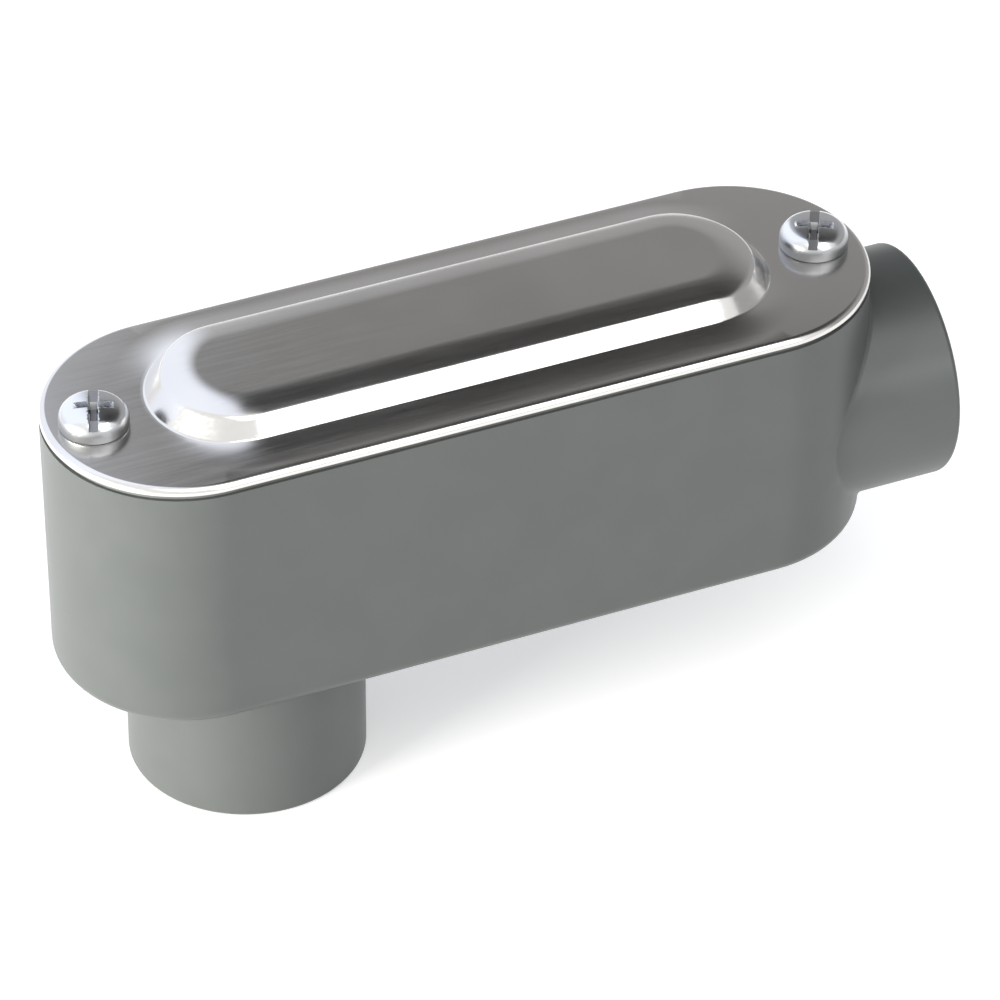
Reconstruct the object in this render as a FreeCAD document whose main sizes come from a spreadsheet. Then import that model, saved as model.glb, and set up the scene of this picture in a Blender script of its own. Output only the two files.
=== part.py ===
import FreeCAD, Part
import math
import os
import Sketcher

# Conduit body, 3/4 inch trade size, with a back hub and an end hub.
#
# Frame: the origin is the centre of the back hub's mouth. +Z runs up that hub's axis, through the housing
# to the cover. +X runs along the housing to the end hub. The housing is symmetrical about the XZ plane.
# All sizes are in millimetres and all angles in degrees.

SIZES = (
    ("body_length", 118.4, "housing and cover, outside length at the rim"),
    ("wall", 2.5, "housing side wall at the rim"),
    ("floor_thick", 2.6, "housing back wall"),
    ("draft_angle", 0.6, "mould draft of the housing, inside and out"),
    ("bottom_round", 2.3, "outside edge of the housing's back"),
    ("inside_round", 1.5, "inside edge of the housing's floor"),
    ("hub_outer", 33.0, "outside diameter of both hubs"),
    ("hub_bore", 23.8, "hub thread's minor diameter"),
    ("hub_root_round", 1.0, "fillet where a hub leaves the housing"),
    ("thread_depth", 13.5, "hub mouth to the bushing"),
    ("bushing_bore", 20.6, "throat of the cast-in bushing"),
    ("bushing_thick", 2.2, "bushing, along the hub's axis"),
    ("mouth_round", 0.8, "outside edge of a hub's mouth"),
    ("mouth_chamfer", 0.6, "lead-in of the hub's thread"),
    ("back_hub_reach", 20.5, "back hub, from its mouth to the housing's back"),
    ("back_hub_inset", 27.2, "back hub's axis from the housing's near end"),
    ("back_passage", 26.4, "widened passage behind the back hub's bushing"),
    ("end_hub_reach", 9.1, "end hub, from the housing's far end to its mouth"),
    ("end_hub_lift", 0.3, "end hub's lowest line above the housing's back"),
    ("rim_over_hub", 5.7, "housing's rim above the end hub's highest line"),
    ("side_over_hub", 2.5, "housing's rim outside the hubs, at each side"),
    ("inner_tube_wall", 2.6, "end hub's tube inside the housing"),
    ("screw_inset", 6.7, "cover screws from the housing's ends"),
    ("boss_radius", 4.4, "screw boss"),
    ("boss_depth", 10.0, "screw boss, down from the rim"),
    ("boss_draft", 2.0, "mould draft of the screw boss"),
    ("boss_root", 1.4, "screw boss starts this far inside the housing's end"),
    ("tapped_depth", 8.6, "tapped hole, down from the rim"),
    ("thread_gap", 0.06, "screw shank to tapped hole, radial"),
    ("gasket_thick", 0.6, "gasket"),
    ("gasket_setback", 0.5, "gasket inside the housing's outline"),
    ("gasket_lap", 0.3, "gasket past the inside of the wall"),
    ("gasket_web", 0.8, "gasket between a screw boss and its opening"),
    ("cover_thick", 1.2, "cover sheet"),
    ("cover_edge_round", 0.9, "cover's rounded outer edge"),
    ("pan_side_margin", 7.3, "cover's long edge to the foot of the raised pan"),
    ("pan_end_margin", 15.25, "cover's end to the foot of the raised pan"),
    ("pan_height", 4.1, "raised pan above the cover's flat"),
    ("pan_wall_angle", 74.0, "pan's wall from the flat"),
    ("pan_foot_round", 0.9, "pan's concave foot"),
    ("shoulder_round", 1.6, "pan's shoulder"),
    ("crown_round", 12.0, "gentle fall from the pan's top to its shoulder"),
    ("crown_angle", 18.0, "how far the crown turns before the shoulder"),
    ("screw_major", 4.8, "cover screw thread"),
    ("screw_length", 9.5, "cover screw under its head"),
    ("screw_tip_chamfer", 0.6, "cover screw's point"),
    ("screw_passing_gap", 0.3, "screw to its holes in cover and gasket, radial"),
    ("head_diameter", 9.5, "pan head"),
    ("head_side", 1.2, "pan head's upright side"),
    ("head_shoulder", 1.9, "rounding between the pan head's side and its crown"),
    ("head_height", 3.4, "pan head"),
    ("slot_width", 1.3, "slot of the combination recess"),
    ("slot_depth", 1.3, "slot, down from the head's top"),
    ("cross_width", 1.3, "arm of the cross recess"),
    ("cross_length", 5.6, "arm of the cross recess, tip to tip"),
    ("cross_depth", 2.2, "cross recess, down from the head's top"),
    ("left_screw_turn", 70.0, "where the left screw's slot came to rest, from +X"),
    ("right_screw_turn", 63.0, "where the right screw's slot came to rest, from +X"),
)

BODY_DEPTH = "(dims.end_hub_lift + dims.hub_outer + dims.rim_over_hub)"
RIM_Z = f"(dims.back_hub_reach + {BODY_DEPTH})"
COVER_Z = f"({RIM_Z} + dims.gasket_thick)"
COVER_TOP_Z = f"({COVER_Z} + dims.cover_thick)"
NEAR_X = "(-dims.back_hub_inset)"
FAR_X = "(dims.body_length - dims.back_hub_inset)"
MIDDLE_X = "(dims.body_length / 2 - dims.back_hub_inset)"
HALF_WIDTH = "(dims.hub_outer / 2 + dims.side_over_hub)"
END_MOUTH_X = f"({FAR_X} + dims.end_hub_reach)"
END_AXIS_Z = "(dims.back_hub_reach + dims.end_hub_lift + dims.hub_outer / 2)"
SCREW_SPAN = "(dims.body_length / 2 - dims.screw_inset)"
SCREW_HOLE_RADIUS = "(dims.screw_major / 2 + dims.screw_passing_gap)"

CUT_MARGIN = 1.0     # how far a cut's profile runs past the face that it opens
ON_LEVEL = 0.01      # edges within this of a level lie on it

doc = FreeCAD.newDocument("conduit_body")
dims = doc.addObject("Spreadsheet::Sheet", "dims")


def fill_sheet():
    """Write each size, its alias and its note into the sheet."""
    for row, (alias, size, note) in enumerate(SIZES, start=1):
        dims.set(f"A{row}", note)
        dims.set(f"B{row}", str(size))
        dims.setAlias(f"B{row}", alias)
    doc.recompute()


def value(expression):
    """Number that an expression over the sheet gives now."""
    return float(dims.evalExpression(expression.replace("dims.", "")))


# ---------------------------------------------------------------- bodies, sketches and features

def new_body(label, x="0", z="0"):
    """A sub-part whose own origin sits at x, z in the shared frame."""
    body = doc.addObject("PartDesign::Body", label)
    body.Label = label
    body.setExpression("Placement.Base.x", x)
    body.setExpression("Placement.Base.z", z)
    return body


def new_sketch(body, name, plane, offset=("0", "0", "0"), turn=0.0):
    """Sketch on one of the body's origin planes, shifted by offset and turned in that plane."""
    sketch = body.newObject("Sketcher::SketchObject", name)
    support = next(item for item in body.Origin.OriginFeatures if item.Role == plane)
    sketch.AttachmentSupport = [(support, "")]
    sketch.MapMode = "FlatFace"
    upright = FreeCAD.Vector(0, 0, 1)
    sketch.AttachmentOffset = FreeCAD.Placement(FreeCAD.Vector(), FreeCAD.Rotation(upright, turn))
    for axis, expression in zip("xyz", offset):
        sketch.setExpression(f"AttachmentOffset.Base.{axis}", expression)
    return sketch


def bind(sketch, constraint, expression):
    """Add a dimension to the sketch and drive it from the sheet."""
    index = sketch.addConstraint(constraint)
    sketch.setExpression(f"Constraints[{index}]", expression)


def place_coordinate(sketch, geometry, point, kind, expression):
    """Drive one coordinate of a sketch point. kind is DistanceX or DistanceY. A zero lies on the axis."""
    distance = value(expression)
    if abs(distance) < 1e-9:
        axis = -2 if kind == "DistanceX" else -1
        sketch.addConstraint(Sketcher.Constraint("PointOnObject", geometry, point, axis))
    else:
        bind(sketch, Sketcher.Constraint(kind, -1, 1, geometry, point, distance), expression)


def place_point(sketch, geometry, point, x, y):
    """Drive both coordinates of a sketch point."""
    place_coordinate(sketch, geometry, point, "DistanceX", x)
    place_coordinate(sketch, geometry, point, "DistanceY", y)


def draw_circle(sketch, x, y, radius):
    """Circle whose centre and radius are expressions."""
    centre = FreeCAD.Vector(value(x), value(y), 0)
    circle = sketch.addGeometry(Part.Circle(centre, FreeCAD.Vector(0, 0, 1), value(radius)))
    place_point(sketch, circle, 3, x, y)
    bind(sketch, Sketcher.Constraint("Radius", circle, value(radius)), radius)


def draw_slot(sketch, left, right, radius):
    """Round-ended outline along X, centred on the X axis, from left to right."""
    size = value(radius)
    near = value(left) + size
    far = value(right) - size
    upright = FreeCAD.Vector(0, 0, 1)
    near_circle = Part.Circle(FreeCAD.Vector(near, 0, 0), upright, size)
    far_circle = Part.Circle(FreeCAD.Vector(far, 0, 0), upright, size)
    near_arc = Part.ArcOfCircle(near_circle, math.pi / 2, 3 * math.pi / 2)
    far_arc = Part.ArcOfCircle(far_circle, -math.pi / 2, math.pi / 2)
    lower = Part.LineSegment(FreeCAD.Vector(near, -size, 0), FreeCAD.Vector(far, -size, 0))
    upper = Part.LineSegment(FreeCAD.Vector(far, size, 0), FreeCAD.Vector(near, size, 0))
    first, second, third, fourth = sketch.addGeometry([near_arc, lower, far_arc, upper], False)
    for one, other in ((first, second), (second, third), (third, fourth), (fourth, first)):
        sketch.addConstraint(Sketcher.Constraint("Tangent", one, 2, other, 1))
    sketch.addConstraint(Sketcher.Constraint("Equal", first, third))
    place_point(sketch, first, 3, f"{left} + {radius}", "0")
    place_point(sketch, third, 3, f"{right} - {radius}", "0")
    bind(sketch, Sketcher.Constraint("Radius", first, size), radius)


def draw_outline(sketch, corners):
    """Closed outline. A corner is (x, y), or (x, y, centre x, centre y, turn) where an arc leads to it.

    The turn is 1 where that arc runs anticlockwise and -1 where it runs clockwise."""
    spots = [FreeCAD.Vector(value(corner[0]), value(corner[1]), 0) for corner in corners]
    pieces = []
    for index, corner in enumerate(corners):
        start = spots[index - 1]
        end = spots[index]
        if len(corner) == 2:
            pieces.append((sketch.addGeometry(Part.LineSegment(start, end)), 1, 2))
            continue
        centre = FreeCAD.Vector(value(corner[2]), value(corner[3]), 0)
        begin, finish = (start, end) if corner[4] > 0 else (end, start)
        angles = [math.atan2(spot.y - centre.y, spot.x - centre.x) for spot in (begin, finish)]
        circle = Part.Circle(centre, FreeCAD.Vector(0, 0, 1), (start - centre).Length)
        arc = sketch.addGeometry(Part.ArcOfCircle(circle, angles[0], angles[1]))
        pieces.append((arc, 1, 2) if corner[4] > 0 else (arc, 2, 1))
        chord = end - start
        if abs(chord.y) > abs(chord.x):
            place_coordinate(sketch, arc, 3, "DistanceX", corner[2])
        else:
            place_coordinate(sketch, arc, 3, "DistanceY", corner[3])
    for index, corner in enumerate(corners):
        following = pieces[(index + 1) % len(pieces)]
        geometry, _, last = pieces[index]
        sketch.addConstraint(Sketcher.Constraint("Coincident", geometry, last, following[0], following[1]))
        place_point(sketch, geometry, last, corner[0], corner[1])


def settle(feature):
    """Recompute, and stop where the feature has no valid shape."""
    doc.recompute()
    if "Invalid" in feature.State or feature.Shape.isNull() or not feature.Shape.isValid():
        raise RuntimeError(f"{feature.Name} failed: {feature.getStatusString()}")
    return feature


def set_sizes(feature, bindings):
    """Drive a feature's properties from the sheet."""
    for name, expression in bindings.items():
        feature.setExpression(name, expression)
    return settle(feature)


def pad(body, sketch, name, length, downward=False, taper=None, both_ways=False):
    """Add the sketch's outline as a solid."""
    feature = body.newObject("PartDesign::Pad", name)
    feature.Profile = sketch
    feature.Reversed = downward
    if both_ways:
        feature.SideType = "Symmetric"
    bindings = {"Length": length}
    if taper:
        bindings["TaperAngle"] = taper
    return set_sizes(feature, bindings)


def check_cut(feature, before):
    """Stop where a cut took nothing away."""
    if feature.Shape.isNull() or feature.Shape.Volume > before - 0.01:
        raise RuntimeError(f"{feature.Name} cuts nothing")


def pocket(body, sketch, name, length, downward=True, taper=None, both_ways=False):
    """Cut the sketch's outline out of the body."""
    before = body.Tip.Shape.Volume
    feature = body.newObject("PartDesign::Pocket", name)
    feature.Profile = sketch
    feature.Reversed = not downward
    if both_ways:
        feature.SideType = "Symmetric"
    bindings = {"Length": length}
    if taper:
        bindings["TaperAngle"] = taper
    set_sizes(feature, bindings)
    check_cut(feature, before)
    return feature


def turn(body, kind, sketch, name, axis, angle=360.0):
    """Revolution or Groove of the sketch about one of its own axes."""
    feature = body.newObject(f"PartDesign::{kind}", name)
    feature.Profile = sketch
    feature.ReferenceAxis = (sketch, [axis])
    feature.Angle = angle
    doc.recompute()
    return feature


def groove(body, sketch, name, axis, angle=360.0):
    """Revolved cut."""
    before = body.Tip.Shape.Volume
    feature = turn(body, "Groove", sketch, name, axis, angle)
    check_cut(feature, before)
    return feature


def mirror(body, originals, name, plane):
    """Repeat features on the far side of one of the body's origin planes."""
    feature = body.newObject("PartDesign::Mirrored", name)
    feature.Originals = originals
    support = next(item for item in body.Origin.OriginFeatures if item.Role == plane)
    feature.MirrorPlane = (support, [""])
    body.Tip = feature
    doc.recompute()
    return feature


def fillet(body, name, radius, test):
    """Round the edges that pass a test."""
    base = body.Tip
    edges = [f"Edge{number}" for number, edge in enumerate(base.Shape.Edges, start=1) if test(edge)]
    feature = body.newObject("PartDesign::Fillet", name)
    feature.Base = (base, edges)
    return set_sizes(feature, {"Radius": radius})


def is_level(edge, height):
    """True where the whole edge lies at one height."""
    return abs(edge.BoundBox.ZMin - height) < ON_LEVEL and abs(edge.BoundBox.ZMax - height) < ON_LEVEL


def is_hub_root(edge, centre, along):
    """True for an edge where a hub's outside meets the housing: round the hub, away from its mouth.

    centre is the middle of the hub's mouth and along points from it into the housing."""
    if isinstance(edge.Curve, (Part.Line, Part.LineSegment)):
        return False
    radius = value("dims.hub_outer / 2")
    offsets = [point - centre for point in edge.discretize(7)]
    depths = [offset.dot(along) for offset in offsets]
    ring = all(abs(offset.cross(along).Length - radius) < ON_LEVEL for offset in offsets)
    return ring and min(depths) > ON_LEVEL


# ---------------------------------------------------------------- housing

def draw_hub_bore(sketch, passage_radius, passage_end):
    """Half section of what is cut from a hub: lead-in, thread bore, round-nosed bushing and passage.

    Local x runs from the mouth into the hub and y is the radius."""
    bore = "dims.hub_bore / 2"
    nose = "dims.bushing_bore / 2 + dims.bushing_thick / 2"
    bushing_end = "dims.thread_depth + dims.bushing_thick"
    nose_middle = "dims.thread_depth + dims.bushing_thick / 2"
    corners = [
        (f"{-CUT_MARGIN}", "0"),
        (f"{-CUT_MARGIN}", f"{bore} + dims.mouth_chamfer + {CUT_MARGIN}"),
        ("dims.mouth_chamfer", bore),
        ("dims.thread_depth", bore),
        ("dims.thread_depth", nose),
        (bushing_end, nose, nose_middle, nose, 1),
    ]
    if passage_radius != nose:
        corners.append((bushing_end, passage_radius))
    corners.append((passage_end, passage_radius))
    corners.append((passage_end, "0"))
    draw_outline(sketch, corners)


def draw_boss(sketch, side):
    """U-shaped boss outline, from the screw to inside the end wall. side is -1 near and 1 far."""
    end = FAR_X if side > 0 else NEAR_X
    screw = f"({end} - {side} * dims.screw_inset)"
    root = f"({end} - {side} * dims.boss_root)"
    radius = "dims.boss_radius"
    draw_outline(sketch, [
        (root, f"-{radius} * {side}"),
        (root, f"{radius} * {side}"),
        (screw, f"{radius} * {side}"),
        (screw, f"-{radius} * {side}", screw, "0", 1),
    ])


def build_housing():
    """One casting: drafted trough, two hubs with bushings, two screw bosses."""
    body = new_body("housing")

    outline = new_sketch(body, "housing_outline", "XY_Plane", ("0", "0", RIM_Z))
    draw_slot(outline, NEAR_X, FAR_X, HALF_WIDTH)
    pad(body, outline, "trough", BODY_DEPTH, downward=True, taper="-dims.draft_angle")
    back = value("dims.back_hub_reach")
    fillet(body, "back_edge", "dims.bottom_round", lambda edge: is_level(edge, back))

    mouth = new_sketch(body, "back_hub_outline", "XY_Plane")
    draw_circle(mouth, "0", "0", "dims.hub_outer / 2")
    pad(body, mouth, "back_hub", "dims.back_hub_reach + dims.bottom_round")

    mouth = new_sketch(body, "end_hub_outline", "YZ_Plane", ("0", END_AXIS_Z, END_MOUTH_X))
    draw_circle(mouth, "0", "0", "dims.hub_outer / 2")
    pad(body, mouth, "end_hub", f"dims.end_hub_reach + {HALF_WIDTH}", downward=True)

    back_mouth = FreeCAD.Vector(0, 0, 0)
    end_mouth = FreeCAD.Vector(value(END_MOUTH_X), 0, value(END_AXIS_Z))
    upwards = FreeCAD.Vector(0, 0, 1)
    inwards = FreeCAD.Vector(-1, 0, 0)
    fillet(body, "back_hub_root", "dims.hub_root_round", lambda edge: is_hub_root(edge, back_mouth, upwards))
    fillet(body, "end_hub_root", "dims.hub_root_round", lambda edge: is_hub_root(edge, end_mouth, inwards))
    fillet(body, "hub_mouth_edges", "dims.mouth_round",
           lambda edge: is_level(edge, 0) or edge.BoundBox.XMin > end_mouth.x - ON_LEVEL)

    opening = new_sketch(body, "cavity_outline", "XY_Plane", ("0", "0", RIM_Z))
    draw_slot(opening, f"({NEAR_X} + dims.wall)", f"({FAR_X} - dims.wall)", f"({HALF_WIDTH} - dims.wall)")
    pocket(body, opening, "cavity", f"{BODY_DEPTH} - dims.floor_thick", taper="-dims.draft_angle")
    floor = value("dims.back_hub_reach + dims.floor_thick")
    fillet(body, "floor_edge", "dims.inside_round", lambda edge: is_level(edge, floor))

    tube_start = f"({END_MOUTH_X} - dims.thread_depth - dims.bushing_thick)"
    tube = new_sketch(body, "end_tube_outline", "YZ_Plane", ("0", END_AXIS_Z, tube_start))
    draw_circle(tube, "0", "0", "dims.hub_bore / 2 + dims.inner_tube_wall")
    pad(body, tube, "end_tube", f"{FAR_X} - {tube_start}")

    for side, end in ((-1, "near"), (1, "far")):
        boss = new_sketch(body, f"{end}_boss_outline", "XY_Plane", ("0", "0", RIM_Z))
        draw_boss(boss, side)
        pad(body, boss, f"{end}_boss", "dims.boss_depth", downward=True, taper="-dims.boss_draft")

    holes = new_sketch(body, "tapped_hole_outlines", "XY_Plane", ("0", "0", RIM_Z))
    for end in (f"{NEAR_X} + dims.screw_inset", f"{FAR_X} - dims.screw_inset"):
        draw_circle(holes, end, "0", "dims.screw_major / 2 + dims.thread_gap")
    pocket(body, holes, "tapped_holes", "dims.tapped_depth")

    section = new_sketch(body, "back_bore_section", "XZ_Plane", turn=90.0)
    draw_hub_bore(section, "dims.back_passage / 2", f"dims.back_hub_reach + dims.floor_thick + {CUT_MARGIN}")
    groove(body, section, "back_bore", "H_Axis")

    section = new_sketch(body, "end_bore_section", "XZ_Plane", (END_MOUTH_X, END_AXIS_Z, "0"), turn=180.0)
    nose = "dims.bushing_bore / 2 + dims.bushing_thick / 2"
    draw_hub_bore(section, nose, f"dims.thread_depth + dims.bushing_thick + {CUT_MARGIN}")
    groove(body, section, "end_bore", "H_Axis")
    return body


# ---------------------------------------------------------------- gasket

def build_gasket():
    """Flat ring on the rim, wide enough at its ends to carry the screw holes."""
    body = new_body("gasket", MIDDLE_X, RIM_Z)
    half_length = "(dims.body_length / 2 - dims.gasket_setback)"

    outline = new_sketch(body, "gasket_outline", "XY_Plane")
    draw_slot(outline, f"(-{half_length})", half_length, f"({HALF_WIDTH} - dims.gasket_setback)")
    pad(body, outline, "gasket_blank", "dims.gasket_thick")

    opening_end = f"({SCREW_SPAN} - dims.boss_radius - dims.gasket_web)"
    opening = new_sketch(body, "gasket_opening", "XY_Plane")
    draw_slot(opening, f"(-{opening_end})", opening_end, f"({HALF_WIDTH} - dims.wall - dims.gasket_lap)")
    pocket(body, opening, "wireway_opening", "dims.gasket_thick", downward=False)
    cut_screw_holes(body, "dims.gasket_thick")
    return body


def cut_screw_holes(body, thickness):
    """Screw passing holes at both ends of a flat part whose origin is at the middle of its underside."""
    hole = new_sketch(body, f"{body.Name}_hole_outline", "XY_Plane")
    draw_circle(hole, SCREW_SPAN, "0", SCREW_HOLE_RADIUS)
    cut = pocket(body, hole, f"{body.Name}_far_hole", thickness, downward=False)
    mirror(body, [cut], f"{body.Name}_holes", "YZ_Plane")


# ---------------------------------------------------------------- cover

def draw_pan_section(sketch, skin, bottom):
    """Half section of the pan, from its middle outwards, inset by skin from the outer face.

    Local y is measured from the cover's flat top. x is measured from the middle of the pan."""
    wall = "dims.pan_wall_angle"
    crown = "dims.crown_angle"
    crown_radius = f"(dims.crown_round - {skin})"
    shoulder_radius = f"(dims.shoulder_round - {skin})"
    foot_x = f"({HALF_WIDTH} - dims.pan_side_margin - {skin} / sin({wall}))"
    top_y = f"(dims.pan_height - {skin})"
    crown_y = f"({top_y} - {crown_radius} * (1 - cos({crown})))"
    wall_y = f"({crown_y} - {shoulder_radius} * (cos({crown}) - cos({wall})))"
    wall_x = f"({foot_x} - {wall_y} / tan({wall}))"
    crown_x = f"({wall_x} - {shoulder_radius} * (sin({wall}) - sin({crown})))"
    flat_x = f"({crown_x} - {crown_radius} * sin({crown}))"
    shoulder_x = f"({wall_x} - {shoulder_radius} * sin({wall}))"
    shoulder_y = f"({wall_y} - {shoulder_radius} * cos({wall}))"
    draw_outline(sketch, [
        ("0", bottom),
        ("0", top_y),
        (flat_x, top_y),
        (crown_x, crown_y, flat_x, f"({top_y} - {crown_radius})", -1),
        (wall_x, wall_y, shoulder_x, shoulder_y, -1),
        (f"({foot_x} - {bottom} / tan({wall}))", bottom),
    ])


def pan_solid(body, prefix, skin, bottom, add):
    """Straight run and two round ends of the pan, added or cut."""
    run = f"(dims.body_length - 2 * dims.pan_end_margin - 2 * ({HALF_WIDTH} - dims.pan_side_margin))"
    straight = new_sketch(body, f"{prefix}_side_section", "YZ_Plane", ("0", "dims.cover_thick", "0"))
    draw_pan_section(straight, skin, bottom)
    extrude = pad if add else pocket
    side = extrude(body, straight, f"{prefix}_side", run, both_ways=True)
    mirror(body, [side], f"{prefix}_sides", "XZ_Plane")

    end_place = (f"{run} / 2", "dims.cover_thick", "0")
    end_section = new_sketch(body, f"{prefix}_end_section", "XZ_Plane", end_place)
    draw_pan_section(end_section, skin, bottom)
    kind = "Revolution" if add else "Groove"
    end = turn(body, kind, end_section, f"{prefix}_end", "V_Axis", 180.0)
    end.Midplane = True
    doc.recompute()
    mirror(body, [end], f"{prefix}_ends", "YZ_Plane")


def build_cover():
    """One stamped sheet: flat margin with a rounded edge and a raised pan of even thickness."""
    body = new_body("cover", MIDDLE_X, COVER_Z)
    half_length = "(dims.body_length / 2)"
    outline = new_sketch(body, "cover_outline", "XY_Plane")
    draw_slot(outline, f"(-{half_length})", half_length, HALF_WIDTH)
    pad(body, outline, "flat_sheet", "dims.cover_thick")
    top = value("dims.cover_thick")
    fillet(body, "rounded_edge", "dims.cover_edge_round", lambda edge: is_level(edge, top))

    pan_reach = value(f"{HALF_WIDTH} - dims.pan_side_margin") + ON_LEVEL
    pan_solid(body, "pan", "0", "-dims.cover_thick / 2", add=True)
    fillet(body, "pan_foot", "dims.pan_foot_round",
           lambda edge: is_level(edge, top) and max(edge.BoundBox.YMax, -edge.BoundBox.YMin) < pan_reach)
    pan_solid(body, "hollow", "dims.cover_thick", f"-dims.cover_thick - {CUT_MARGIN}", add=False)
    fillet(body, "hollow_foot", "dims.pan_foot_round + dims.cover_thick",
           lambda edge: is_level(edge, 0) and max(edge.BoundBox.YMax, -edge.BoundBox.YMin) < pan_reach)
    cut_screw_holes(body, "dims.cover_thick")
    return body


# ---------------------------------------------------------------- cover screws

def draw_screw_section(sketch):
    """Half section of a pan-head screw: chamfered shank, upright side, round shoulder, flatter crown."""
    shank = "dims.screw_major / 2"
    tip = f"({shank} - dims.screw_tip_chamfer)"
    head = "dims.head_diameter / 2"
    shoulder = "dims.head_shoulder"
    shoulder_x = f"({head} - {shoulder})"
    rise = "(dims.head_height - dims.head_side)"
    crown = f"(({shoulder_x}^2 + {rise}^2 - {shoulder}^2) / (2 * ({rise} - {shoulder})))"
    meet = f"({crown} / ({crown} - {shoulder}))"
    crown_z = f"(dims.head_height - {crown})"
    draw_outline(sketch, [
        ("0", "-dims.screw_length"),
        (tip, "-dims.screw_length"),
        (shank, "-dims.screw_length + dims.screw_tip_chamfer"),
        (shank, "0"),
        (head, "0"),
        (head, "dims.head_side"),
        (f"{meet} * {shoulder_x}", f"{crown_z} + {meet} * (dims.head_side - {crown_z})",
         shoulder_x, "dims.head_side", 1),
        ("0", "dims.head_height", "0", crown_z, 1),
    ])


def build_screw(label, side, turn_angle):
    """Pan-head machine screw with a slot and a cross recess. Its origin is under its head."""
    body = new_body(label, f"{MIDDLE_X} + {side} * {SCREW_SPAN}", COVER_TOP_Z)
    body.Placement.Rotation = FreeCAD.Rotation(FreeCAD.Vector(0, 0, 1), value(turn_angle))
    body.setExpression("Placement.Rotation.Angle", turn_angle)
    section = new_sketch(body, f"{label}_section", "XZ_Plane")
    draw_screw_section(section)
    turn(body, "Revolution", section, f"{label}_blank", "V_Axis")

    slot = new_sketch(body, f"{label}_slot_outline", "XY_Plane", ("0", "0", "dims.head_height"))
    draw_rectangle(slot, f"dims.head_diameter + {CUT_MARGIN}", "dims.slot_width")
    pocket(body, slot, f"{label}_slot", "dims.slot_depth")
    arm = new_sketch(body, f"{label}_arm_outline", "XY_Plane", ("0", "0", "dims.head_height"))
    draw_rectangle(arm, "dims.cross_length", "dims.cross_width")
    cut = pocket(body, arm, f"{label}_arm", "dims.cross_depth")
    pattern = body.newObject("PartDesign::PolarPattern", f"{label}_cross")
    pattern.Originals = [cut]
    pattern.Axis = (arm, ["N_Axis"])
    pattern.Angle = 180.0
    pattern.Occurrences = 2
    body.Tip = pattern
    doc.recompute()
    return body


def draw_rectangle(sketch, length, width):
    """Rectangle about the sketch's origin."""
    draw_outline(sketch, [
        (f"-({length}) / 2", f"-({width}) / 2"),
        (f"({length}) / 2", f"-({width}) / 2"),
        (f"({length}) / 2", f"({width}) / 2"),
        (f"-({length}) / 2", f"({width}) / 2"),
    ])


# ---------------------------------------------------------------- checks and export

def check_document(bodies):
    """Stop where an object failed or a sub-part is not one valid solid."""
    for item in doc.Objects:
        if "Invalid" in item.State or "Error" in item.State:
            raise RuntimeError(f"{item.Name} failed: {item.State}")
    for body in bodies:
        if body.Shape.isNull() or not body.Shape.isValid() or len(body.Shape.Solids) != 1:
            raise RuntimeError(f"{body.Label} is not one valid solid")


def main():
    """Build every sub-part and write its file."""
    fill_sheet()
    bodies = [
        build_housing(),
        build_gasket(),
        build_cover(),
        build_screw("cover_screw_left", -1, "dims.left_screw_turn"),
        build_screw("cover_screw_right", 1, "dims.right_screw_turn"),
    ]
    doc.recompute()
    check_document(bodies)
    os.makedirs("parts", exist_ok=True)
    for body in bodies:
        body.Shape.exportStep(f"parts/{body.Label}.step")
        print(body.Label, round(body.Shape.Volume, 1), body.Shape.BoundBox)


main()
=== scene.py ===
"""Looks of a 3/4 inch back-and-end conduit body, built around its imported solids.

The housing keeps its cast shape and gets cut threads in both hubs. The cover is a stamped sheet with a
raised pan. The screws get their thread, a slot and a tapered cross. Lengths are in millimetres, apart from
the studio's floor, flag and lamps and the materials' depths, which are in metres.
"""
from __future__ import annotations

import logging
import math
from dataclasses import dataclass
from enum import Enum

import bmesh
import bpy
from mathutils import Matrix, Vector

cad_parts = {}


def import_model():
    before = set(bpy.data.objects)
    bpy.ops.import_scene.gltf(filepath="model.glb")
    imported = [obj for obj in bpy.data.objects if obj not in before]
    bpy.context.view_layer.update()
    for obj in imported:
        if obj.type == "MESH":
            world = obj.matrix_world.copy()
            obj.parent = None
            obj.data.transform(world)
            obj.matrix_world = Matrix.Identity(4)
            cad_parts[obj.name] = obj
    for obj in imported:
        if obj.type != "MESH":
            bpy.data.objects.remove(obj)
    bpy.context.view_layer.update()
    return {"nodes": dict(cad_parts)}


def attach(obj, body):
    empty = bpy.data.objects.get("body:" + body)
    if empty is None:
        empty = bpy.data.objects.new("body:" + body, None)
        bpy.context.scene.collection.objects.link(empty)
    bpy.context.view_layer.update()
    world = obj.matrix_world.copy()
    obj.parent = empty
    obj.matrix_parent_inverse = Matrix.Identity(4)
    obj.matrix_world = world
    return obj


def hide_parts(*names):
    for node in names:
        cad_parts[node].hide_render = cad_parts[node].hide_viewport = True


LOG = logging.getLogger("conduit_body")
MM = 0.001

CAD_WELD = 0.0008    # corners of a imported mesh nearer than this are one
CAD_SLIVER = 0.0004  # its edges shorter than this go
SKIN_WELD = 0.002    # corners of a swept thread nearer than this are one
SHEET_WELD = 0.0005  # the same on the cover
SCREW_WELD = 0.001   # the same on a screw
ON_WALL = 0.02       # faces within this of a round wall lie on it
FINE_DETAIL, FINE_ROUGHNESS = 3.0, 0.55
BROAD_DETAIL, BROAD_ROUGHNESS = 2.0, 0.5
CLOUD_RANGE = (0.32, 0.68)

Piece = bpy.types.Object
Mesh = bmesh.types.BMesh
Material = bpy.types.Material
Tree = bpy.types.NodeTree
Node = bpy.types.Node
Socket = bpy.types.NodeSocket
Colour = tuple[float, float, float]
Point = tuple[float, float, float]
Section = list[tuple[float, float]]
Loop = list[bmesh.types.BMEdge]


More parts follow.
